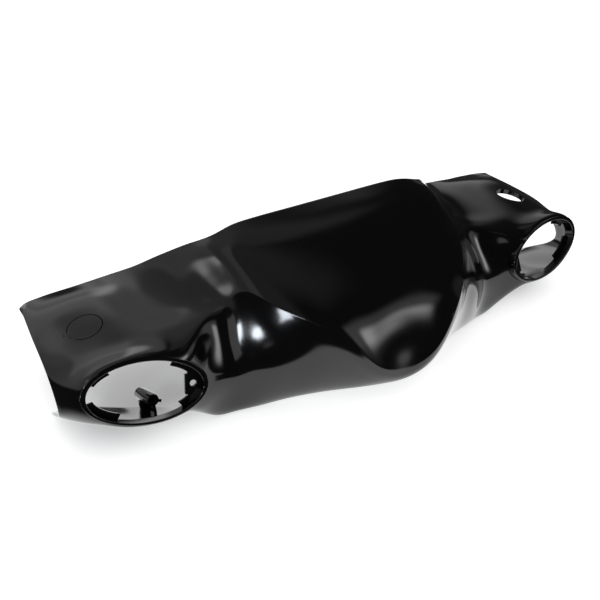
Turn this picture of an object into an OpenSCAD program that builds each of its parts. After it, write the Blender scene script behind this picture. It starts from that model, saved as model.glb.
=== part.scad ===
// Front handlebar cover: one moulded shell with a raised centre shield, two
// wings over the grips, an oval indicator opening in each wing, and a mirror
// hole that is open in the wing at +X and still a knock-out disc in the other.
// X runs across the handlebar, the front faces -Y, and Z is up from the
// surface that the cover stands on.

/* [Shell] */
// Width over the two open wing ends
cover_w = 515; // [500:1:620]
// Depth from the nose to the rear corners of the wings
cover_d = 198.5; // [165:0.5:240]
// Height from the lower edge to the top of the shield
cover_h = 125; // [104:1:150]
// Thickness of the moulded wall
wall = 2.6; // [2.2:0.1:3.2]
// Width of the raised shield across its ridges
shield_w = 214; // [178:1:230]

/* [Indicator openings] */
// How far each opening's centre lies in from the wing end
pod_inset = 54.5; // [50:0.5:66]
// Length of the collar that the indicator lens sits in
lens_w = 94; // [78:1:102]
// Height of the collar that the indicator lens sits in
lens_h = 50; // [42:1:56]
// Thickness of the collar's rim
rim_t = 1.8; // [1.4:0.1:2.6]
// Depth of the collar behind its front face
rim_depth = 9; // [7:0.5:12]
// How far each opening turns outwards
pod_yaw = 7.3; // [4:0.1:11]
// How far each opening leans back
pod_lean = 15.6; // [10:0.1:20]
// How far each opening's outer end is raised
pod_roll = 8; // [4:0.5:12]

/* [Mirror holes] */
// Bore for the mirror stem
mirror_d = 28; // [23:0.5:34]
// How far the mirror holes lie in from the wing ends
mirror_inset = 39; // [36:0.5:44]
// Length of the bore through its thickened seat
seat_l = 5; // [4:0.5:7]
// Width of the groove round the knock-out disc
groove_w = 0.8; // [0.6:0.1:1.2]

/* [Fixings] */
// Outer diameter of the screw bosses
boss_d = 9.5; // [8:0.5:12]
// Bore of the screw bosses
boss_bore = 4; // [3:0.1:5]
// Length of the indicator's screw boss
boss_l = 23; // [18:1:28]
// Bore of the indicator's inner lug
lug_bore = 5; // [4:0.1:6]
// Length of the two screw bosses inside the shield
shield_boss_l = 32; // [27:1:36]

/* [Hidden] */

// Cross-sections of the outer skin, from the middle of the cover outwards.
// Each row is a place along X, then twelve [y, z] points: the rear edge, four
// on the top, the ridge or shoulder, three down the front, the lower front
// edge, and two on the return below it.
sections = [
  [0, [[35, 125], [7, 118.5], [-23, 107], [-53, 92.5], [-78, 75.5], [-98, 28.5],
    [-99, 24.5], [-98, 20.5], [-95, 17], [-90.5, 14], [-86, 12.5], [-81, 12.5]]],
  [30, [[35, 125], [7, 118.5], [-23, 106.5], [-53, 91.5], [-78, 74.5], [-98, 39.5],
    [-97.5, 33.5], [-95, 27], [-91, 20.5], [-85.5, 15], [-80, 13], [-75, 13]]],
  [60, [[35, 125], [7, 118], [-23, 105], [-50, 91], [-71, 81], [-86, 74],
    [-86.5, 63.5], [-84.5, 50.5], [-78, 28.5], [-67.5, 10], [-62, 8.5], [-57, 9]]],
  [85, [[34, 124.5], [10, 118], [-15, 106.5], [-33, 98], [-47, 91.5], [-57.5, 86.5],
    [-63.5, 72.5], [-67.5, 55.5], [-65.5, 29.5], [-55.7, 6.5], [-50, 5.3], [-45, 5.7]]],
  [100, [[32, 121.5], [14, 117.5], [-1, 112], [-14, 105.5], [-25, 99.5], [-34, 95],
    [-48, 74.5], [-61, 50.5], [-59.5, 27.5], [-50, 4], [-44, 3], [-39, 3.5]]],
  [107, [[36, 117.5], [20, 118], [9, 115], [-2, 109.5], [-11, 104.5], [-18.5, 100],
    [-39, 76.5], [-57.5, 48.5], [-56, 25.5], [-47.3, 2.6], [-41.5, 2], [-36.5, 2.5]]],
  [113, [[41, 114.5], [26, 113.5], [14, 110], [2, 103.5], [-7, 98], [-16, 93],
    [-37, 73.5], [-54, 45.5], [-53, 24.5], [-45.5, 2], [-39.5, 1.5], [-34.5, 2]]],
  [121, [[47, 111], [32, 107.5], [18, 101.5], [4, 94], [-8, 88], [-19, 84.5],
    [-33, 67], [-48, 41.5], [-47, 21.5], [-43, 1.5], [-37, 1], [-32, 1.5]]],
  [131, [[55, 104.5], [38, 100.5], [22, 95], [6, 88.5], [-7, 84.5], [-18, 82.5],
    [-30, 65.5], [-44, 40.5], [-43, 19.5], [-40, 1], [-35, 0.6], [-30, 0.8]]],
  [141, [[64, 98], [44, 92.5], [24, 87], [7, 83.5], [-9, 82.5], [-22, 81],
    [-34, 63.5], [-45, 39.5], [-43, 18.5], [-39, 0.8], [-34, 0.4], [-29, 0.8]]],
  [150, [[71, 91.5], [47, 88.5], [26, 84.5], [6, 82], [-12, 81.5], [-29, 78.5],
    [-40, 58.5], [-46, 37.5], [-45, 21.5], [-39, 6.5], [-34, 6], [-29, 6]]],
  [160, [[77, 87], [50, 85.5], [27, 83.5], [4, 81.5], [-18, 80.5], [-39, 75.5],
    [-47, 53.5], [-50, 33.5], [-49, 23.5], [-43, 16], [-36, 14.5], [-29, 14.5]]],
  [174, [[81, 84], [52, 84.5], [27, 83], [4, 81.5], [-20, 80], [-46, 71.5],
    [-51, 51.5], [-55, 32.5], [-50, 27.5], [-45, 25], [-34, 18.6], [-24, 12.6]]],
  [188, [[87, 79.5], [57, 84.5], [29, 84], [2, 82], [-22, 80], [-42, 77.5],
    [-47, 53.5], [-54, 29.5], [-49, 26.5], [-43, 23.4], [-26, 15], [-7, 8.4]]],
  [203, [[94, 74.5], [60, 84], [30, 83.5], [2, 81.5], [-22, 80], [-39, 79.5],
    [-45, 55.5], [-52, 30], [-47.5, 27.6], [-41, 24.4], [-22, 17], [-2, 10.5]]],
  [220, [[98.6, 71.5], [62, 81.5], [30, 80], [4, 78], [-20, 77.5], [-37, 79.5],
    [-43, 57.5], [-49, 32.5], [-44.5, 29], [-37, 26], [-13, 16], [14, 8]]],
  [236, [[98.6, 70.5], [62, 78.5], [32, 76.5], [7, 74.5], [-15, 73.5], [-35, 74.5],
    [-41, 59.5], [-45, 41.5], [-40, 35], [-31, 30], [-3, 17.5], [28, 4.5]]],
  [249, [[94, 72], [64, 74.5], [37, 71.5], [12, 69], [-12, 64.5], [-34, 61],
    [-37, 57.5], [-35, 47.5], [-28, 34.5], [-17, 27.5], [6, 17.5], [31, 3.5]]],
  [257.5, [[86, 74], [67, 72], [42, 69.5], [20, 66], [6, 61], [-6, 50.5],
    [-11, 42.5], [-11, 35.5], [-5, 27.5], [5, 20.5], [18, 12.5], [32, 3]]]];
// How far short of the wing's widest place its open end cuts each line
end_short = [10.5, 7.5, 4.3, 2.1, 0.9, 0.2, 0, 0.3, 1.8, 3.8, 5, 7];
// Steps in each space between two cross-sections, and between two points
col_steps = [3, 3, 3, 2, 1, 2, 2, 2, 2, 2, 2, 2, 2, 2, 2, 2, 2, 2];
row_steps = [3, 3, 3, 3, 4, 3, 3, 3, 2, 2, 2];

ridge = 5;          // the point of a section that lies on the ridge
crease_from = 105;  // the ridge is sharp as far out as this
crease_to = 121;    // and has rounded off into the shoulder here
warp_from = 203;    // the sections start to bend to the wing's end here

// The nominal size that the sections were drawn at
drawn = [515, 198.5, 125];
pod_x = cover_w / 2 - pod_inset;
k_y = cover_d / drawn.y;
k_z = cover_h / drawn.z;
pod_c = [pod_x, -45.4 * k_y, 55.05 * k_z];
// The opening's own axes: along its length, up its face, and out of it
pod_across = [cos(pod_yaw), sin(pod_yaw), 0];
pod_up = [-sin(pod_lean) * sin(pod_yaw), sin(pod_lean) * cos(pod_yaw), cos(pod_lean)];
pod_long = pod_across * cos(pod_roll) + pod_up * sin(pod_roll);
pod_short = pod_up * cos(pod_roll) - pod_across * sin(pod_roll);

function place(x) = lookup(x, [[0, 0], [107, shield_w / 2], [156, pod_x - lens_w / 2],
  [203, pod_x], [250, pod_x + lens_w / 2], [257.5, cover_w / 2]]);

// The collar's edge at a place x along the cover, over (k = 1), level with
// (k = 0) or under (k = -1) its middle, as [y, z]
function rim(x, k) =
  let (a = lens_w / 2 * pod_long.x, b = lens_h / 2 + 0.8,
    s0 = (x - pod_x) / a, h0 = k * sqrt(max(0.1, 1 - s0 ^ 2)),
    s = min(0.96, max(-0.96, (x - pod_x - h0 * b * pod_short.x) / a)),
    p = pod_c + pod_long * s * lens_w / 2 + pod_short * k * b * sqrt(1 - s ^ 2))
  [p.y, p.z];
// How fully the skin follows the collar there
function on_rim(x) = lookup(x, [[170, 0], [184, 1], [243, 1], [251, 0]]);

// Cubic from a to b, with the slopes ta and tb at its ends
function cubic(a, b, ta, tb, t) =
  a * (2 * t ^ 3 - 3 * t ^ 2 + 1) + ta * (t ^ 3 - 2 * t ^ 2 + t)
  + b * (3 * t ^ 2 - 2 * t ^ 3) + tb * (t ^ 3 - t ^ 2);

// Slope of the sections' point j along X, at section i
last = len(sections) - 1;
function slope(i, j) =
  i == 0 ? [0, 0]
  : i == last ? (sections[i][1][j] - sections[i - 1][1][j]) / (sections[i][0] - sections[i - 1][0])
  : (sections[i + 1][1][j] - sections[i - 1][1][j]) / (sections[i + 1][0] - sections[i - 1][0]);

function knot(i, j, t) =
  let (x0 = sections[i][0], x1 = sections[i + 1][0], x = x0 + (x1 - x0) * t,
    yz = cubic(sections[i][1][j], sections[i + 1][1][j],
      slope(i, j) * (x1 - x0), slope(i + 1, j) * (x1 - x0), t),
    flat = [yz[0] * k_y, yz[1] * k_z],
    edge = j < ridge || j > ridge + 2 ? flat
      : flat + (rim(place(x), ridge + 1 - j) - flat) * on_rim(x),
    warp = max(0, (x - warp_from) / (drawn.x / 2 - warp_from)) ^ 2)
  [place(x) - warp * end_short[j], edge[0], edge[1]];

// One column of the skin: the twelve knots joined by a smooth curve, with a
// corner at the ridge where the ridge is sharp
function column(i, t) =
  let (k = [for (j = [0:11]) knot(i, j, t)],
    x = sections[i][0] + (sections[i + 1][0] - sections[i][0]) * t,
    soft = min(1, max(0, (x - crease_from) / (crease_to - crease_from))),
    len_j = [for (j = [0:10]) norm(k[j + 1] - k[j])],
    sec = [for (j = [0:10]) (k[j + 1] - k[j]) / len_j[j]],
    tan_j = [for (j = [0:11]) j == 0 ? sec[0] : j == 11 ? sec[10]
      : (sec[j - 1] * len_j[j] + sec[j] * len_j[j - 1]) / (len_j[j] + len_j[j - 1])])
  [for (j = [0:10]) let (
      ta = j == ridge ? sec[j] + (tan_j[j] - sec[j]) * soft : tan_j[j],
      tb = j + 1 == ridge ? sec[j] + (tan_j[j + 1] - sec[j]) * soft : tan_j[j + 1])
    for (r = [0:row_steps[j] - (j == 10 ? 0 : 1)])
      cubic(k[j], k[j + 1], ta * len_j[j], tb * len_j[j], r / row_steps[j])];

half = [for (i = [0:last - 1]) for (s = [(i == 0 ? 1 : 0):col_steps[i] - (i == last - 1 ? 0 : 1)])
  column(i, s / col_steps[i])];
middle = column(0, 0);
outer = concat(
  [for (i = [len(half) - 1:-1:0]) [for (p = half[i]) [-p.x, p.y, p.z]]], [middle], half);
cols = len(outer);
rows = len(middle);

function unit(v) = v / norm(v);
function at(i, j) = outer[min(cols - 1, max(0, i))][min(rows - 1, max(0, j))];
function normal(i, j) = unit(cross(at(i + 1, j) - at(i - 1, j), at(i, j - 1) - at(i, j + 1)));
// The inner skin lies one wall in, along a normal that is evened out between
// neighbours, which rounds the inside of the ridge
evening = [1, 2, 3, 2, 1];
function inwards(i, j) = unit([for (e = [0:4]) evening[e]]
  * [for (e = [-2:2]) normal(i, min(rows - 1, max(0, j + e)))]);
inner = [for (i = [0:cols - 1]) [for (j = [0:rows - 1]) outer[i][j] - inwards(i, j) * wall]];

module skin() {
  n = cols * rows;
  pts = [for (c = concat(outer, inner)) for (p = c) p];
  function id(i, j) = i * rows + j;
  quads = concat(
    [for (i = [0:cols - 2]) for (j = [0:rows - 2])
      [id(i, j), id(i, j + 1), id(i + 1, j + 1), id(i + 1, j)]],
    [for (i = [0:cols - 2]) for (j = [0:rows - 2])
      [n + id(i, j), n + id(i + 1, j), n + id(i + 1, j + 1), n + id(i, j + 1)]],
    [for (i = [0:cols - 2]) [id(i, 0), id(i + 1, 0), n + id(i + 1, 0), n + id(i, 0)]],
    [for (i = [0:cols - 2])
      [id(i, rows - 1), n + id(i, rows - 1), n + id(i + 1, rows - 1), id(i + 1, rows - 1)]],
    [for (j = [0:rows - 2]) [id(0, j), n + id(0, j), n + id(0, j + 1), id(0, j + 1)]],
    [for (j = [0:rows - 2])
      [id(cols - 1, j), id(cols - 1, j + 1), n + id(cols - 1, j + 1), n + id(cols - 1, j)]]);
  polyhedron(pts, [for (q = quads) each [[q[2], q[1], q[0]], [q[3], q[2], q[0]]]]);
}

// Points of an oval with half axes a and b, from one angle to another
function oval(a, b, from = 0, to = 360, n = 48) =
  [for (i = [0:n - (to - from == 360 ? 1 : 0)]) let (g = from + (to - from) * i / n)
    [a * cos(g), b * sin(g)]];

module both_sides() {
  children();
  mirror([1, 0, 0]) children();
}

// Puts its children in the right opening: X along it, Y up its face, Z out
module in_pod() {
  translate(pod_c) rotate([0, 0, pod_yaw]) rotate([90 - pod_lean, 0, 0])
    rotate([0, 0, pod_roll]) children();
}

rim_a = lens_w / 2;
rim_b = lens_h / 2;
in_a = rim_a - rim_t;
in_b = rim_b - rim_t;
ledge_w = 2.6;
ledge_t = 1.6;

// The oval collar, with the four ledges that the lens is pressed against and
// the inner lug that takes one of its screws
module collar() {
  translate([0, 0, -rim_depth]) linear_extrude(rim_depth) difference() {
    polygon(oval(rim_a, rim_b));
    polygon(oval(in_a, in_b));
  }
  for (span = [[28, 59], [112, 140], [206, 228], [293, 344]])
    translate([0, 0, -rim_depth]) linear_extrude(ledge_t)
      polygon(concat(oval(rim_a - 0.4, rim_b - 0.4, span[0], span[1], 8),
        oval(in_a - ledge_w, in_b - ledge_w, span[1], span[0], 8)));
}

// The lug closes the inner end of the opening. Its free edge steps out to a
// tab at the screw hole, which a clip nut slides over
lug_in = 9.5;       // free edge, from the collar's inner end
tab_in = 12.5;      // the tab's edge, from there too
tab_low = -8.5;     // the tab's lower and upper ends
tab_high = 9.5;
lug_t = 2.2;
lug_hole = [-rim_a + 7, -0.5];
module lug() {
  edge = lug_in - rim_a;
  tab = tab_in - rim_a;
  seat_a = rim_a - 0.4;
  seat_b = rim_b - 0.4;
  turn = acos(-edge / seat_a);
  translate([0, 0, -rim_depth]) difference() {
    linear_extrude(lug_t) polygon(concat(oval(seat_a, seat_b, 180 - turn, 180 + turn, 14),
      [[edge, tab_low], [tab, tab_low], [tab, tab_high], [edge, tab_high]]));
    translate([lug_hole.x, lug_hole.y, -1]) cylinder(d = lug_bore, h = lug_t + 2, $fn = 24);
  }
}

// A screw boss with its mouth at z = 0 and its bore along Z. A web runs along
// it from just behind the mouth, and its edge is reach from the boss's middle.
web_t = 2.4;
module boss(l, bore_l, reach, web_l) {
  difference() {
    union() {
      cylinder(d = boss_d, h = l, $fn = 28);
      translate([-web_t / 2, 0, 1]) cube([web_t, reach, web_l]);
      children();
    }
    translate([0, 0, -1]) cylinder(d = boss_bore, h = bore_l + 1, $fn = 20);
  }
}

// The indicator's boss stands behind the opening and leans as the opening
// does. Its web reaches into the bottom wall and has a cross rib at its rear
// end. A nib beside the mouth keeps the lamp from turning.
boss_at = [pod_x - 14.1, -24.5 * k_y, 28.4 * k_z];
boss_turn = 4;   // its rear end lies this much further out
web_reach = 12.65 * k_z;   // into the bottom wall, whose height follows the cover's
rib_w = 4;
nib = [3.4, 2.4, 2.2];
module indicator_boss() {
  translate(boss_at) rotate([0, 0, -boss_turn]) rotate([-90 - pod_lean, 0, 0])
    boss(boss_l, boss_l - 3, web_reach, boss_l - 6.5) {
      translate([0, 0, boss_l - 8.2]) cube([web_t / 2 + rib_w, web_reach - 1, web_t]);
      rotate([0, 0, -25]) translate([1 - boss_d / 2 - nib.x, -nib.y / 2, 0.3]) cube(nib);
    }
}

// The two bosses inside the shield take the screws that hold the cover on.
// They stand on the front wall, and their roots are cut to its slope.
shield_root = outer[(cols - 1) / 2 + 7][23];
shield_wall = normal((cols - 1) / 2 + 7, 23);
module shield_boss() {
  difference() {
    translate(shield_root + [0, shield_boss_l, 0]) rotate([90, 0, 0])
      boss(shield_boss_l + 5, 16, boss_d / 2 + 4, shield_boss_l);
    translate(shield_root - shield_wall * wall / 2)
      rotate([0, acos(shield_wall.z), atan2(shield_wall.y, shield_wall.x)])
        translate([-15, -15, 0]) cube([30, 30, 20]);
  }
}

// Mirror seats: the top of the wing is thickened under the hole
mirror_at = [cover_w / 2 - mirror_inset, 21.8 * k_y, 79.4 * k_z];
mirror_tilt = [5.6, 10, 0];
module on_mirror() {
  translate(mirror_at) rotate(mirror_tilt) children();
}

module handlebar_cover() color([0.03, 0.03, 0.035]) {
  difference() {
    union() {
      difference() {
        union() {
          skin();
          both_sides() on_mirror() translate([0, 0, -seat_l])
            cylinder(d = mirror_d + 6, h = seat_l - 1.2, $fn = 48);
        }
        both_sides() in_pod() translate([0, 0, -rim_depth - 5])
          linear_extrude(rim_depth + 10) polygon(oval(in_a + rim_t / 2, in_b + rim_t / 2));
      }
      both_sides() in_pod() { collar(); lug(); }
      both_sides() { indicator_boss(); shield_boss(); }
    }
    on_mirror() translate([0, 0, -seat_l - 2]) cylinder(d = mirror_d, h = seat_l + 6, $fn = 48);
    mirror([1, 0, 0]) on_mirror() translate([0, 0, -1]) difference() {
      cylinder(d = mirror_d, h = 5, $fn = 48);
      translate([0, 0, -1]) cylinder(d = mirror_d - 2 * groove_w, h = 7, $fn = 48);
    }
  }
}

handlebar_cover();
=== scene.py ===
import math

import bpy
import numpy as np
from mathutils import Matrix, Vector


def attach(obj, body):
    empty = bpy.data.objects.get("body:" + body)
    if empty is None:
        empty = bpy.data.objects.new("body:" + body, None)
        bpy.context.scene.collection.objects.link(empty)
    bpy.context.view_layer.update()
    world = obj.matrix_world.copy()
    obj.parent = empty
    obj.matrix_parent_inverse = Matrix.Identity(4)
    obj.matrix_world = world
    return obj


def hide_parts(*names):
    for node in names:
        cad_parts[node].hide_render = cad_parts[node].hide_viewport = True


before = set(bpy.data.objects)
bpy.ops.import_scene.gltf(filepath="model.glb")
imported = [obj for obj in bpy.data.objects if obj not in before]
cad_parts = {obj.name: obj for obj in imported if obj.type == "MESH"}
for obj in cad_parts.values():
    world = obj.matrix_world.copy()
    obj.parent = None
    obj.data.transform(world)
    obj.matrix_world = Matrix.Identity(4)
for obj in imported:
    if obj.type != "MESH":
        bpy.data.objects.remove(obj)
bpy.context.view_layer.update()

# The skin of the cover. It is moulded in one shot of glossy black plastic: a
# centre shield that rises between two wings, drawn as cross-sections along the
# handlebar, in millimetres, and then made smooth as the polished mould is.
MM = 0.001
WALL = 2.6
CUTS = [
    (0, [(35, 125), (7, 118.5), (-23, 107), (-53, 92.5), (-78, 75.5), (-98, 28.5),
         (-99, 24.5), (-98, 20.5), (-95, 17), (-90.5, 14), (-86, 12.5), (-81, 12.5)]),
    (30, [(35, 125), (7, 118.5), (-23, 106.5), (-53, 91.5), (-78, 74.5), (-98, 39.5),
          (-97.5, 33.5), (-95, 27), (-91, 20.5), (-85.5, 15), (-80, 13), (-75, 13)]),
    (60, [(35, 125), (7, 118), (-23, 105), (-50, 91), (-71, 81), (-86, 74),
          (-86.5, 63.5), (-84.5, 50.5), (-78, 28.5), (-67.5, 10), (-62, 8.5), (-57, 9)]),
    (85, [(34, 124.5), (10, 118), (-15, 106.5), (-33, 98), (-47, 91.5), (-57.5, 86.5),
          (-63.5, 72.5), (-67.5, 55.5), (-65.5, 29.5), (-55.7, 6.5), (-50, 5.3), (-45, 5.7)]),
    (100, [(32, 121.5), (14, 117.5), (-1, 112), (-14, 105.5), (-25, 99.5), (-34, 95),
           (-48, 74.5), (-61, 50.5), (-59.5, 27.5), (-50, 4), (-44, 3), (-39, 3.5)]),
    (107, [(36, 117.5), (20, 118), (9, 115), (-2, 109.5), (-11, 104.5), (-18.5, 100),
           (-39, 76.5), (-57.5, 48.5), (-56, 25.5), (-47.3, 2.6), (-41.5, 2), (-36.5, 2.5)]),
    (113, [(41, 114.5), (26, 113.5), (14, 110), (2, 103.5), (-7, 98), (-16, 93),
           (-37, 73.5), (-54, 45.5), (-53, 24.5), (-45.5, 2), (-39.5, 1.5), (-34.5, 2)]),
    (121, [(47, 111), (32, 107.5), (18, 101.5), (4, 94), (-8, 88), (-19, 84.5),
           (-33, 67), (-48, 41.5), (-47, 21.5), (-43, 1.5), (-37, 1), (-32, 1.5)]),
    (131, [(55, 104.5), (38, 100.5), (22, 95), (6, 88.5), (-7, 84.5), (-18, 82.5),
           (-30, 65.5), (-44, 40.5), (-43, 19.5), (-40, 1), (-35, 0.6), (-30, 0.8)]),
    (141, [(64, 98), (44, 92.5), (24, 87), (7, 83.5), (-9, 82.5), (-22, 81),
           (-34, 63.5), (-45, 39.5), (-43, 18.5), (-39, 0.8), (-34, 0.4), (-29, 0.8)]),
    (150, [(71, 91.5), (47, 88.5), (26, 84.5), (6, 82), (-12, 81.5), (-29, 78.5),
           (-40, 58.5), (-46, 37.5), (-45, 21.5), (-39, 6.5), (-34, 6), (-29, 6)]),
    (160, [(77, 87), (50, 85.5), (27, 83.5), (4, 81.5), (-18, 80.5), (-39, 75.5),
           (-47, 53.5), (-50, 33.5), (-49, 23.5), (-43, 16), (-36, 14.5), (-29, 14.5)]),
    (174, [(81, 84), (52, 84.5), (27, 83), (4, 81.5), (-20, 80), (-46, 71.5),
           (-51, 51.5), (-55, 32.5), (-50, 27.5), (-45, 25), (-34, 18.6), (-24, 12.6)]),
    (188, [(87, 79.5), (57, 84.5), (29, 84), (2, 82), (-22, 80), (-42, 77.5),
           (-47, 53.5), (-54, 29.5), (-49, 26.5), (-43, 23.4), (-26, 15), (-7, 8.4)]),
    (203, [(94, 74.5), (60, 84), (30, 83.5), (2, 81.5), (-22, 80), (-39, 79.5),
           (-45, 55.5), (-52, 30), (-47.5, 27.6), (-41, 24.4), (-22, 17), (-2, 10.5)]),
    (220, [(98.6, 71.5), (62, 81.5), (30, 80), (4, 78), (-20, 77.5), (-37, 79.5),
           (-43, 57.5), (-49, 32.5), (-44.5, 29), (-37, 26), (-13, 16), (14, 8)]),
    (236, [(98.6, 70.5), (62, 78.5), (32, 76.5), (7, 74.5), (-15, 73.5), (-35, 74.5),
           (-41, 59.5), (-45, 41.5), (-40, 35), (-31, 30), (-3, 17.5), (28, 4.5)]),
    (249, [(94, 72), (64, 74.5), (37, 71.5), (12, 69), (-12, 64.5), (-34, 61),
           (-37, 57.5), (-35, 47.5), (-28, 34.5), (-17, 27.5), (6, 17.5), (31, 3.5)]),
    (257.5, [(86, 74), (67, 72), (42, 69.5), (20, 66), (6, 61), (-6, 50.5),
             (-11, 42.5), (-11, 35.5), (-5, 27.5), (5, 20.5), (18, 12.5), (32, 3)])]
# How far short of the wing's widest place its open end cuts each line
END_SHORT = np.array([10.5, 7.5, 4.3, 2.1, 0.9, 0.2, 0, 0.3, 1.8, 3.8, 5, 7])
WARP_FROM, HALF_W = 203, 257.5
RIDGE = 5                          # the drawn point that runs along the ridge
CREASE_FROM, CREASE_TO = 105, 121  # where the ridge goes from sharp to soft
COLUMN_MM = 1.75
ROW_STEPS = [12, 12, 12, 12, 14, 12, 12, 12, 6, 6, 6]

# The place and turn of the right-hand indicator opening
LENS_W, LENS_H, RIM_DEPTH = 94.4, 51.6, 9
RIM_STAND = 0.8   # the skin meets the collar this far over and under it
YAW, LEAN, ROLL = (math.radians(d) for d in (7.3, 15.6, 8))
POD_AT = np.array([201.7, -45.5, 55.05])
across = np.array([math.cos(YAW), math.sin(YAW), 0])
up_face = np.array([-math.sin(LEAN) * math.sin(YAW), math.sin(LEAN) * math.cos(YAW),
                    math.cos(LEAN)])
POD_LONG = across * math.cos(ROLL) + up_face * math.sin(ROLL)
POD_SHORT = up_face * math.cos(ROLL) - across * math.sin(ROLL)
POD_OUT = np.cross(POD_LONG, POD_SHORT)


def rim_line(x, side):
    """The collar's edge over, level with or under its middle, at places x, as y and z."""
    a, b = LENS_W / 2 * POD_LONG[0], LENS_H / 2 + RIM_STAND
    level = side * np.sqrt(np.maximum(0.1, 1 - ((x - POD_AT[0]) / a) ** 2))
    s = np.clip((x - POD_AT[0] - level * b * POD_SHORT[0]) / a, -0.96, 0.96)
    p = (POD_AT + np.outer(s * LENS_W / 2, POD_LONG)
         + np.outer(side * b * np.sqrt(1 - s ** 2), POD_SHORT))
    return p[:, 1:]


def cubic(a, b, ta, tb, t):
    """A smooth curve from a to b that leaves along ta and arrives along tb."""
    return (a * (2 * t ** 3 - 3 * t ** 2 + 1) + ta * (t ** 3 - 2 * t ** 2 + t)
            + b * (3 * t ** 2 - 2 * t ** 3) + tb * (t ** 3 - t ** 2))


place = np.array([c[0] for c in CUTS], float)
drawn = np.array([c[1] for c in CUTS], float)
slope = np.zeros_like(drawn)
slope[1:-1] = (drawn[2:] - drawn[:-2]) / (place[2:] - place[:-2])[:, None, None]
slope[-1] = (drawn[-1] - drawn[-2]) / (place[-1] - place[-2])
half_x = np.linspace(0, HALF_W, round(HALF_W / COLUMN_MM) + 1)
gap = np.clip(np.searchsorted(place, half_x, side="right") - 1, 0, len(place) - 2)
span = (place[gap + 1] - place[gap])[:, None, None]
t_x = ((half_x - place[gap]) / span[:, 0, 0])[:, None, None]
yz = cubic(drawn[gap], drawn[gap + 1], slope[gap] * span, slope[gap + 1] * span, t_x)
on_rim = np.interp(half_x, [170, 184, 243, 251], [0, 1, 1, 0])[:, None]
for point, side in ((RIDGE, 1), (RIDGE + 1, 0), (RIDGE + 2, -1)):
    yz[:, point] += (rim_line(half_x, side) - yz[:, point]) * on_rim
warp = np.maximum(0, (half_x - WARP_FROM) / (HALF_W - WARP_FROM)) ** 2
knots = np.dstack([half_x[:, None] - warp[:, None] * END_SHORT, yz])

length = np.linalg.norm(np.diff(knots, axis=1), axis=2)[..., None]
chord = np.diff(knots, axis=1) / length
tangent = np.empty_like(knots)
tangent[:, 0], tangent[:, -1] = chord[:, 0], chord[:, -1]
tangent[:, 1:-1] = ((chord[:, :-1] * length[:, 1:] + chord[:, 1:] * length[:, :-1])
                    / (length[:, 1:] + length[:, :-1]))
soft = np.clip((half_x - CREASE_FROM) / (CREASE_TO - CREASE_FROM), 0, 1)[:, None]
rows = []
for j, steps in enumerate(ROW_STEPS):
    ta, tb = tangent[:, j], tangent[:, j + 1]
    if j == RIDGE:
        ta = chord[:, j] + (ta - chord[:, j]) * soft
    if j + 1 == RIDGE:
        tb = chord[:, j] + (tb - chord[:, j]) * soft
    for r in range(steps + (j == len(ROW_STEPS) - 1)):
        t = r / steps
        t = 1 - (1 - t) ** 1.5 if j + 1 == RIDGE else t ** 1.5 if j == RIDGE else t
        rows.append(cubic(knots[:, j], knots[:, j + 1], ta * length[:, j], tb * length[:, j], t))
half_skin = np.stack(rows, axis=1)
skin = np.concatenate([half_skin[:0:-1] * [-1, 1, 1], half_skin])


def evened(grid, reach, axis):
    """The grid blurred along one axis, with its two ends held."""
    grid = np.moveaxis(grid, axis, 0)
    n = int(3 * reach)
    bell = np.exp(-0.5 * (np.arange(-n, n + 1) / reach) ** 2)
    bell /= bell.sum()
    head = 2 * grid[0] - grid[n:0:-1]
    tail = 2 * grid[-1] - grid[-2:-n - 2:-1]
    long = np.concatenate([head, grid, tail])
    out = sum(w * long[k:k + len(grid)] for k, w in enumerate(bell))
    return np.moveaxis(out, 0, axis)


ridge_row = sum(ROW_STEPS[:RIDGE])
skin = evened(skin, 3.0, 0)
split = np.concatenate([evened(skin[:, :ridge_row + 1], 2.5, 1),
                        evened(skin[:, ridge_row:], 2.5, 1)[:, 1:]], axis=1)
whole = evened(skin, 2.5, 1)
blend_x = np.concatenate([soft[:0:-1, 0], soft[:, 0]])[:, None, None]
skin = split + (whole - split) * blend_x
skin = evened(skin, 0.6, 1)


def unit(v):
    return v / np.linalg.norm(v, axis=-1, keepdims=True)


along = np.gradient(skin, axis=0)
down = np.gradient(skin, axis=1)
normals = unit(np.cross(along, -down))
inside_normals = unit(evened(evened(normals, 5.0, 1), 2.0, 0))
lining = skin - inside_normals * WALL


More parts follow.
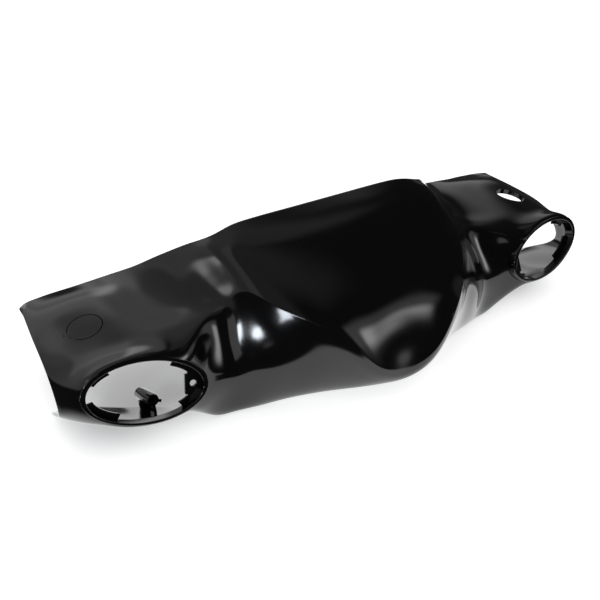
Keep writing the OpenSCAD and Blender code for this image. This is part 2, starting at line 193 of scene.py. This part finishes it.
def closed_shell(outer, inner, radius, rear_radius, steps=4):
    """Points and faces of the two skins, joined all round by an edge with rounded corners."""
    cols, rows_n = outer.shape[:2]
    loop = ([(i, 0) for i in range(cols)] + [(cols - 1, j) for j in range(1, rows_n)]
            + [(i, rows_n - 1) for i in range(cols - 2, -1, -1)]
            + [(0, j) for j in range(rows_n - 2, 0, -1)])
    ids = np.arange(cols * rows_n).reshape(cols, rows_n)
    ii, jj = np.array(loop).T
    in_i, in_j = np.clip(ii, 1, cols - 2), np.clip(jj, 1, rows_n - 2)
    end_gap = np.minimum(ii, cols - 1 - ii)
    wide = np.where(jj == 0, radius + (rear_radius - radius) * np.clip((end_gap - 2) / 12, 0, 1),
                    radius)[:, None]

    def inwards(skin_grid):
        return unit(skin_grid[in_i, in_j] - skin_grid[ii, jj])

    a, b = outer[ii, jj], inner[ii, jj]
    across_edge = unit(b - a)
    ea, eb = inwards(outer), inwards(inner)
    outer, inner = outer.copy(), inner.copy()
    outer[ii, jj] = a + ea * wide
    inner[ii, jj] = b + eb * radius
    rings = []
    for k in range(1, steps + 1):
        w = math.pi / 2 * k / steps
        rings.append(a + ea * wide * (1 - math.sin(w)) + across_edge * wide * (1 - math.cos(w)))
    for k in range(steps, 0, -1):
        w = math.pi / 2 * k / steps
        rings.append(b + eb * radius * (1 - math.sin(w)) - across_edge * radius * (1 - math.cos(w)))
    points = np.concatenate([outer.reshape(-1, 3), inner.reshape(-1, 3)] + rings)
    quads = np.stack([ids[:-1, :-1], ids[1:, :-1], ids[1:, 1:], ids[:-1, 1:]], -1).reshape(-1, 4)
    faces = [quads[:, ::-1], quads + ids.size]
    n = len(loop)
    belt = [ids[ii, jj]] + [2 * ids.size + n * k + np.arange(n) for k in range(len(rings))]
    belt.append(ids[ii, jj] + ids.size)
    for near, far in zip(belt[:-1], belt[1:]):
        faces.append(np.stack([near, np.roll(near, -1), np.roll(far, -1), far], -1))
    return points, np.concatenate(faces)


def solid(name, points, faces):
    """A closed piece from points in millimetres, with its faces turned outwards."""
    points = np.asarray(points, float)
    faces = [list(map(int, f)) for f in faces]
    volume = sum(np.dot(points[f[0]], np.cross(points[f[k]], points[f[k + 1]]))
                 for f in faces for k in range(1, len(f) - 1))
    if volume < 0:
        faces = [f[::-1] for f in faces]
    mesh = bpy.data.meshes.new(name)
    mesh.from_pydata((points * MM).tolist(), [], faces)
    mesh.validate()
    piece = bpy.data.objects.new(name, mesh)
    bpy.context.scene.collection.objects.link(piece)
    return piece


cover = solid("cover_shell", *closed_shell(skin, lining, 0.7, 1.9))

# The seats for the mirror stems. The top of each wing is thickened from below
# by a round pad, moulded with the shell, so that the stem clamps on 5 mm.
MIRROR_AT = np.array([218.5, 21.8, 79.4])
MIRROR_D, SEAT_L, GROOVE_W = 28, 5, 0.8
MIRROR_TILT = 5.6, 10


def turn_x(deg):
    c, s = math.cos(math.radians(deg)), math.sin(math.radians(deg))
    return np.array([[1, 0, 0], [0, c, -s], [0, s, c]])


def turn_y(deg):
    c, s = math.cos(math.radians(deg)), math.sin(math.radians(deg))
    return np.array([[c, 0, s], [0, 1, 0], [-s, 0, c]])


def turn_z(deg):
    c, s = math.cos(math.radians(deg)), math.sin(math.radians(deg))
    return np.array([[c, -s, 0], [s, c, 0], [0, 0, 1]])


def turned(profile, n=96):
    """A solid of revolution about Z. The profile runs from the axis back to the axis."""
    g = np.arange(n) * 2 * math.pi / n
    inner_part = profile[1:-1]
    pts = [(0, 0, profile[0][1]), (0, 0, profile[-1][1])]
    pts += [(r * math.cos(t), r * math.sin(t), z) for r, z in inner_part for t in g]
    faces = []
    for k in range(n):
        m = (k + 1) % n
        faces.append([0, 2 + m, 2 + k])
        faces.append([1, 2 + (len(inner_part) - 1) * n + k, 2 + (len(inner_part) - 1) * n + m])
        for j in range(len(inner_part) - 1):
            faces.append([2 + j * n + k, 2 + j * n + m, 2 + (j + 1) * n + m, 2 + (j + 1) * n + k])
    return np.array(pts, float), faces


def rounded(corner, from_dir, to_dir, radius, steps=4):
    """Points that round the corner of a profile, from one side of it to the other."""
    c, u, v = np.array(corner, float), np.array(from_dir, float), np.array(to_dir, float)
    mid = c + (u + v) * radius
    return [tuple(mid - u * radius * math.sin(w) - v * radius * math.cos(w))
            for w in np.linspace(0, math.pi / 2, steps + 1)]


def join(piece, tool, how):
    """Cuts the tool out of the piece, or fuses it on."""
    step = piece.modifiers.new("join", "BOOLEAN")
    step.operation, step.object, step.solver = how, tool, "MANIFOLD"
    mesh = bpy.data.meshes.new_from_object(
        piece.evaluated_get(bpy.context.evaluated_depsgraph_get()))
    piece.modifiers.clear()
    piece.data = mesh
    bpy.data.objects.remove(tool)


def on_mirror(points, side):
    """Places points that are drawn round the mirror hole's own axis."""
    back, out = MIRROR_TILT
    return (points @ (turn_y(out) @ turn_x(back)).T + MIRROR_AT) * [side, 1, 1]


seat_r, pad_top = MIRROR_D / 2 + 3, -1.2
for side in (1, -1):
    points, faces = turned([(0, -SEAT_L)] + rounded((seat_r, -SEAT_L), (-1, 0), (0, 1), 0.8)
                           + [(seat_r, pad_top), (0, pad_top)])
    join(cover, solid("seat", on_mirror(points, side), faces), "UNION")

# The indicator openings. An oval collar with a rounded lip is moulded into the
# front of each wing, and four narrow ledges at its back stop the lamp's lens.
LIP, RIM_T, RIM_WIDE, INNER_DOWN = 0.8, 2, 4, 0.9
LEDGES = ((21, 51), (122, 150), (207, 228), (297, 345))
LEDGE_W, LEDGE_T = 4.8, 1.6


def in_pod(points, side):
    """Places points that are drawn along the opening, up its face and out of it."""
    return (POD_AT + points @ np.array([POD_LONG, POD_SHORT, POD_OUT])) * [side, 1, 1]


def oval(a, b, start=0, end=360, n=160):
    """Points on an ellipse, all round or between two angles."""
    g = np.radians(np.linspace(start, end, n, endpoint=end - start != 360))
    return np.column_stack([a * np.cos(g), b * np.sin(g)])


def prism(outline, low, high):
    """A straight plate on an outline, from one height to another."""
    outline = np.asarray(outline, float)
    n = len(outline)
    pts = np.concatenate([np.column_stack([outline, np.full(n, z)]) for z in (low, high)])
    faces = [list(range(n))[::-1], list(range(n, 2 * n))]
    faces += [[k, (k + 1) % n, n + (k + 1) % n, n + k] for k in range(n)]
    return pts, faces


def hoop(n, m):
    """The faces of a closed ring of n outlines with m points each."""
    return [[i * m + k, i * m + (k + 1) % m, (i + 1) % n * m + (k + 1) % m, (i + 1) % n * m + k]
            for i in range(n) for k in range(m)]


# the lip is wide at the two ends and over the top, and narrow at the bottom
in_a, in_b = LENS_W / 2 - RIM_WIDE, LENS_H / 2 - (RIM_WIDE + RIM_T) / 2
for side in (1, -1):
    points, faces = prism(oval(LENS_W / 2 - 0.9, LENS_H / 2 - 0.9), -RIM_DEPTH - 5, 5)
    join(cover, solid("pod_cut", in_pod(points, side), faces), "DIFFERENCE")
    inner_oval, outer_oval = (in_a, in_b, INNER_DOWN), (LENS_W / 2, LENS_H / 2, 0)
    ring = ([(inner_oval, 0, -RIM_DEPTH)]
            + [(inner_oval, u, z) for u, z in rounded((0, 0), (0, -1), (1, 0), LIP)]
            + [(outer_oval, u, z) for u, z in rounded((0, 0), (-1, 0), (0, -1), LIP)]
            + [(outer_oval, 0, -RIM_DEPTH)])
    n = 220
    points = np.array([[(a + u) * math.cos(g), (b + u) * math.sin(g) - lower, z]
                       for g in np.arange(n) * 2 * math.pi / n for (a, b, lower), u, z in ring])
    join(cover, solid("collar", in_pod(points, side), hoop(n, len(ring))), "UNION")
    for start, end in LEDGES:
        outline = np.concatenate([oval(in_a + 1, in_b + 1, start, end, 24),
                                  oval(in_a - LEDGE_W, in_b - LEDGE_W, end, start, 24)])
        outline[:, 1] -= INNER_DOWN
        points, faces = prism(outline, -RIM_DEPTH, -RIM_DEPTH + LEDGE_T)
        join(cover, solid("ledge", in_pod(points, side), faces), "UNION")

# The lugs. A flat plate closes the inner end of each opening, and steps out to
# a tab at its screw hole, over which a clip nut is pushed.
LUG_IN, LUG_T, LUG_BORE, LUG_HOLE_AT = 14.4, 2.2, 5, (10, -0.8)
TAB_IN, TAB_LOW, TAB_HIGH = 16.4, -9, 6.5
for side in (1, -1):
    edge, tab = LUG_IN - LENS_W / 2, TAB_IN - LENS_W / 2
    seat_a, seat_b = LENS_W / 2 - 0.4, LENS_H / 2 - 0.4
    sweep = math.degrees(math.acos(-edge / seat_a))
    outline = list(map(tuple, oval(seat_a, seat_b, 180 - sweep, 180 + sweep, 48)))
    outline += [(edge, TAB_LOW)] + rounded((tab, TAB_LOW), (-1, 0), (0, 1), 0.6)
    outline += rounded((tab, TAB_HIGH), (0, -1), (-1, 0), 0.6) + [(edge, TAB_HIGH)]
    points, faces = prism(outline, -RIM_DEPTH, -RIM_DEPTH + LUG_T)
    join(cover, solid("lug", in_pod(points, side), faces), "UNION")
    hole = [(0, -1), (LUG_BORE / 2, -1), (LUG_BORE / 2, LUG_T + 1), (0, LUG_T + 1)]
    points, faces = turned(hole, 48)
    points += [LUG_HOLE_AT[0] - LENS_W / 2, LUG_HOLE_AT[1], -RIM_DEPTH]
    join(cover, solid("lug_hole", in_pod(points, side), faces), "DIFFERENCE")

# The indicator's screw bosses. Each is a tube on the bottom wall behind its
# opening, with a web under it, a cross rib, and a nib that keeps the lamp level.
BOSS_AT = np.array([188.9, -24.5, 28.4])
BOSS_D, BOSS_BORE, BOSS_L = 9.5, 4, 23
BOSS_TURN, BOSS_LEAN = 4, 15.6
WEB_T, WEB_H, RIB_W = 2.4, 7.9, 4
boss_r = BOSS_D / 2


def block(low, high):
    """A straight-sided block between two corners."""
    pts = [(x, y, z) for x in (low[0], high[0]) for y in (low[1], high[1])
           for z in (low[2], high[2])]
    return np.array(pts, float), [(0, 1, 3, 2), (4, 6, 7, 5), (0, 4, 5, 1),
                                  (2, 3, 7, 6), (0, 2, 6, 4), (1, 5, 7, 3)]


def tube(length, bore):
    """A screw boss with its mouth at height 0 and a blind bore, both edges of the mouth eased."""
    r = BOSS_BORE / 2
    return turned([(0, length)] + rounded((boss_r, length), (-1, 0), (0, -1), 0.5)
                  + rounded((boss_r, 0), (0, 1), (-1, 0), 0.4)
                  + rounded((r, 0), (1, 0), (0, 1), 0.3) + [(r, bore), (0, bore)])


def on_boss(points, side):
    """Places points that are drawn along the boss from its mouth."""
    return (points @ (turn_z(-BOSS_TURN) @ turn_x(-90 - BOSS_LEAN)).T + BOSS_AT) * [side, 1, 1]


rib_z = BOSS_L - 8.2
web = block((-WEB_T / 2, 3, 1), (WEB_T / 2, boss_r + WEB_H, BOSS_L - 5.5))
rib = block((0, 3, rib_z), (WEB_T / 2 + RIB_W, boss_r + WEB_H - 1, rib_z + WEB_T))
nib = block((-boss_r - 2.4, -1.2, 0.3), (-boss_r + 0.4, 1.2, 2.5))
nib = (nib[0] @ turn_z(-25).T, nib[1])
for side in (1, -1):
    for points, faces in (tube(BOSS_L, BOSS_L - 3), web, rib, nib):
        join(cover, solid("boss", on_boss(points, side), faces), "UNION")

# The two bosses behind the shield, for the screws that hold the cover on. They
# stand on the inside of the front wall and have a rib along the top.
ROOT = np.array([68.33, -78.15, 45.48])
ROOT_OUT = unit(np.array([0.533, -0.833, -0.15]))
SHIELD_BOSS_L, SHIELD_BORE_L = 32, 16
for side in (1, -1):
    post = tube(SHIELD_BOSS_L + 5, SHIELD_BORE_L)
    rib = block((-WEB_T / 2, 3, 1), (WEB_T / 2, boss_r + 4, SHIELD_BOSS_L + 4))
    pieces = []
    for points, faces in (post, rib):
        points = points @ turn_x(90).T + ROOT + [0, SHIELD_BOSS_L, 0]
        pieces.append(solid("post", points * [side, 1, 1], faces))
    join(pieces[0], pieces[1], "UNION")
    sideways = unit(np.cross((0, 0, 1), ROOT_OUT))
    axes = np.array([sideways, np.cross(ROOT_OUT, sideways), ROOT_OUT])
    points, faces = block((-15, -15, 0), (15, 15, 20))
    points = points @ axes + ROOT - ROOT_OUT * WALL / 2
    join(pieces[0], solid("root_cut", points * [side, 1, 1], faces), "DIFFERENCE")
    join(cover, pieces[0], "UNION")

# The mirror hole, open through the right wing with an eased edge, and the ring
# groove in the left wing that marks where the same disc can be knocked out.
hole_r = MIRROR_D / 2
points, faces = turned([(0, -SEAT_L - 2), (hole_r, -SEAT_L - 2), (hole_r, -0.4),
                        (hole_r + 0.9, 0.5), (hole_r + 0.9, 4), (0, 4)], 128)
join(cover, solid("mirror_hole", on_mirror(points, 1), faces), "DIFFERENCE")
n = 128
groove = [(hole_r - GROOVE_W, 4), (hole_r - GROOVE_W, -0.7), (hole_r - GROOVE_W / 2, -1),
          (hole_r, -0.7), (hole_r, 4)]
points = np.array([[r * math.cos(g), r * math.sin(g), z]
                   for g in np.arange(n) * 2 * math.pi / n for r, z in groove])
join(cover, solid("groove", on_mirror(points, -1), hoop(n, len(groove))), "DIFFERENCE")

# the skin is smooth, and only the corners of the ribs and holes look sharp
SHARP_DEG = 38
cover.data.shade_smooth()
cover.data.set_sharp_from_angle(angle=math.radians(SHARP_DEG))
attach(cover, "root")
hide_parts("handlebar_cover")

# The plastic of the whole cover: ABS coloured black right through and moulded
# against a polished tool, so it is glossy, with faint waves where it shrank.


class Socket:
    """A shader value, so that shader maths can be written as plain expressions."""

    def __init__(self, tree, link):
        self.tree, self.link = tree, link

    def node(self, kind, settings=None, inputs=None, out=0):
        made = self.tree.nodes.new(kind)
        for name, value in (settings or {}).items():
            if name == "stops":
                ramp = made.color_ramp
                while len(ramp.elements) < len(value):
                    ramp.elements.new(0.5)
                for stop, (at, shade) in zip(ramp.elements, value):
                    stop.position, stop.color = at, shade
            else:
                setattr(made, name, value)
        for name, value in (inputs or {}).items():
            if isinstance(value, Socket):
                self.tree.links.new(value.link, made.inputs[name])
            else:
                made.inputs[name].default_value = value
        return Socket(self.tree, made.outputs[out])

    def maths(self, how, *values):
        return self.node("ShaderNodeMath", {"operation": how}, dict(enumerate(values)))

    def __add__(self, other):
        return self.maths("ADD", self, other)

    def __radd__(self, other):
        return self.maths("ADD", other, self)

    def __sub__(self, other):
        return self.maths("SUBTRACT", self, other)

    def __rsub__(self, other):
        return self.maths("SUBTRACT", other, self)

    def __mul__(self, other):
        return self.maths("MULTIPLY", self, other)

    def __rmul__(self, other):
        return self.maths("MULTIPLY", other, self)

    def __truediv__(self, other):
        return self.maths("DIVIDE", self, other)

    def step(self, low, high):
        """0 below low and 1 above high, with a soft rise between."""
        return self.node("ShaderNodeMapRange", {"interpolation_type": "SMOOTHSTEP"},
                         {"Value": self, "From Min": low, "From Max": high})

    def to(self, name, node):
        self.tree.links.new(self.link, node.inputs[name])


plastic = bpy.data.materials.new("black_plastic")
plastic.use_nodes = True
tree = plastic.node_tree
surface = tree.nodes["Principled BSDF"]
surface.inputs["IOR"].default_value = 1.5
surface.inputs["Specular IOR Level"].default_value = 0.5
place_on = Socket(tree, tree.nodes.new("ShaderNodeTexCoord").outputs["Object"])


def grain(size_mm, detail, rough=0.5):
    """Noise whose patches are about so many millimetres wide."""
    return place_on.node("ShaderNodeTexNoise", {}, {"Vector": place_on, "Scale": 1000 / size_mm,
                                                    "Detail": detail, "Roughness": rough})


flow = grain(60, 2)
haze = grain(9, 3)
dust = grain(1.1, 2, 0.6).step(0.66, 0.78)
tone = place_on.node("ShaderNodeValToRGB",
                     {"stops": [(0.3, (0.0016, 0.0016, 0.0018, 1)),
                                (0.7, (0.0024, 0.0024, 0.0027, 1))]}, {"Fac": flow})
tone = place_on.node("ShaderNodeMix", {"data_type": "RGBA"},
                     {"Factor": dust * 0.25, 6: tone, 7: (0.018, 0.018, 0.019, 1)}, 2)
tone.to("Base Color", surface)
(0.07 + flow * 0.03 + haze * 0.03 + dust * 0.06).to("Roughness", surface)
waves = place_on.node("ShaderNodeBump", {}, {"Strength": 1.0, "Distance": 0.00006,
                                             "Height": grain(34, 1)})
texture = place_on.node("ShaderNodeBump", {}, {"Strength": 0.5, "Distance": 0.000004,
                                               "Height": grain(1.6, 2), "Normal": waves})
texture.to("Normal", surface)
cover.data.materials.clear()
cover.data.materials.append(plastic)

# The white table that the cover stands on. Its front edge lies close to the
# cover, and past it the gloss of the plastic reflects the dark of the room.
bpy.ops.mesh.primitive_plane_add(size=12)
floor = bpy.context.object
floor.name = "table"
paper = bpy.data.materials.new("white_table")
paper.use_nodes = True
tree = paper.node_tree
out = tree.nodes["Material Output"]
sheet = tree.nodes["Principled BSDF"]
sheet.inputs["Base Color"].default_value = (0.8, 0.8, 0.8, 1)
sheet.inputs["Roughness"].default_value = 0.9
sheet.inputs["Specular IOR Level"].default_value = 0
rays = tree.nodes.new("ShaderNodeLightPath")
seen, mirrored, through = (Socket(tree, rays.outputs[name]) for name in
                           ("Is Camera Ray", "Is Glossy Ray", "Is Transmission Ray"))
spot = Socket(tree, tree.nodes.new("ShaderNodeTexCoord").outputs["Object"])
x_at = seen.node("ShaderNodeSeparateXYZ", {}, {"Vector": spot})
y_at = Socket(tree, x_at.link.node.outputs["Y"])
# the table's front edge, which runs further out towards the right
front = -0.155 - (x_at.step(-0.07, 0.06) * 0.13) - (x_at.step(0.06, 0.25) * 0.4)
on_table = ((y_at - front).step(-0.012, 0.012) * x_at.step(-0.32, -0.26)
            * (1 - x_at.step(0.33, 0.36)) * (1 - y_at.step(0.25, 0.35)))
# painted shade: the floor's glow to the camera is turned down under the cover, on top of its real
# shadow
under = (x_at.step(-0.27, -0.2) * (1 - x_at.step(0.2, 0.25)) * y_at.step(-0.05, 0.01)
         * (1 - y_at.step(0.08, 0.14)))
glow = seen.node("ShaderNodeEmission", {}, {"Strength": seen * (0.62 - under * 0.48) + through
                                            + mirrored * on_table * 0.8})
dark = seen.node("ShaderNodeEmission", {}, {"Strength": 0.03})
near = seen.node("ShaderNodeAddShader", {}, {0: Socket(tree, sheet.outputs[0]), 1: glow})
seen.node("ShaderNodeMixShader", {},
          {0: mirrored * (1 - on_table), 1: near, 2: dark}).to("Surface", out)
floor.data.materials.append(paper)

# The studio round it: a plain white room for everything but the gloss, which
# sees a dark room with lit panels. Their reflections draw the cover's shape.
studio = bpy.data.worlds.new("studio")
bpy.context.scene.world = studio
studio.use_nodes = True
tree = studio.node_tree
rays = tree.nodes.new("ShaderNodeLightPath")
seen, mirrored = (Socket(tree, rays.outputs[name])
                  for name in ("Is Camera Ray", "Is Glossy Ray"))
way = Socket(tree, tree.nodes.new("ShaderNodeTexCoord").outputs["Generated"])
way = mirrored.node("ShaderNodeSeparateXYZ", {}, {"Vector": way})
way_x, way_y, way_z = (Socket(tree, way.link.node.outputs[k]) for k in "XYZ")
bearing = way_x.maths("ARCTAN2", way_x, way_y) * (180 / math.pi)
height = way_z.maths("ARCSINE", way_z) * (180 / math.pi)


def panel(left, right, low, high, soft):
    """1 where a ray leaves between two bearings and two heights, in degrees."""
    def between(angle, start, end):
        return angle.step(start - soft, start + soft) * (1 - angle.step(end - soft, end + soft))

    return between(bearing, left, right) * between(height, low, high)


light = panel(-400, 400, 66, 200, 6) * 0.22 + 0.03
for left, right, low, high, level, soft in (
        (-130, 34, 40, 120, 0.42, 6),     # the ceiling towards the left
        (-98, 50, 2, 42, 0.6, 4),         # the wall behind
        (-28, 18, 20, 40, 0.45, 4),
        (16, 36, 8, 28, 1.2, 3),
        (-163, -134, 18, 40, 1.25, 2),    # beside the left lamp
        (-75, -62, 32, 40, 3.5, 3),
        (34, 60, 48, 66, 0.25, 4),
        (104, 146, 8, 40, 0.9, 7),        # the soft box in front on the right
        (129, 144, 11, 27, 5.2, 5)):
    light = light + panel(left, right, low, high, soft) * level
shine = mirrored.node("ShaderNodeBackground", {}, {"Strength": light})
plain = mirrored.node("ShaderNodeBackground", {}, {"Strength": seen * 0.25 + 1.0})
mirrored.node("ShaderNodeMixShader", {}, {0: mirrored, 1: plain, 2: shine}).to(
    "Surface", tree.nodes["World Output"])


def lamp(name, bearing_deg, height_deg, far, width, tall, power, colour):
    """A lamp behind a diffuser, aimed at the middle of the cover."""
    made = bpy.data.lights.new(name, "AREA")
    made.shape, made.size, made.size_y = "RECTANGLE", width, tall
    made.energy, made.color = power, colour
    stand = bpy.data.objects.new(name, made)
    bpy.context.scene.collection.objects.link(stand)
    b, h = math.radians(bearing_deg), math.radians(height_deg)
    toward = Vector((math.sin(b) * math.cos(h), math.cos(b) * math.cos(h), math.sin(h)))
    stand.location = Vector((0, 0, 0.06)) + toward * far
    stand.rotation_euler = (-toward).to_track_quat("-Z", "Y").to_euler()
    made.cycles.max_bounces = 4


COOL_WHITE = (0.85, 0.92, 1.0)
lamp("left_lamp", -126, 25.5, 1.4, 0.13, 0.14, 1.9, COOL_WHITE)
lamp("left_strip", -117, 5.5, 1.4, 0.15, 0.14, 1.6, COOL_WHITE)

# The camera, where the photographer stood: to the left and a little above.
cam = bpy.data.cameras.new("camera")
cam.lens, cam.sensor_width = 54, 36
eye = bpy.data.objects.new("camera", cam)
bpy.context.scene.collection.objects.link(eye)
eye.location = Vector((-394.6, -540.45, 440.6)) * MM
eye.rotation_euler = Vector((0.471, 0.719, -0.512)).to_track_quat("-Z", "Y").to_euler()
bpy.context.scene.camera = eye
bpy.context.scene.view_settings.view_transform = "Standard"
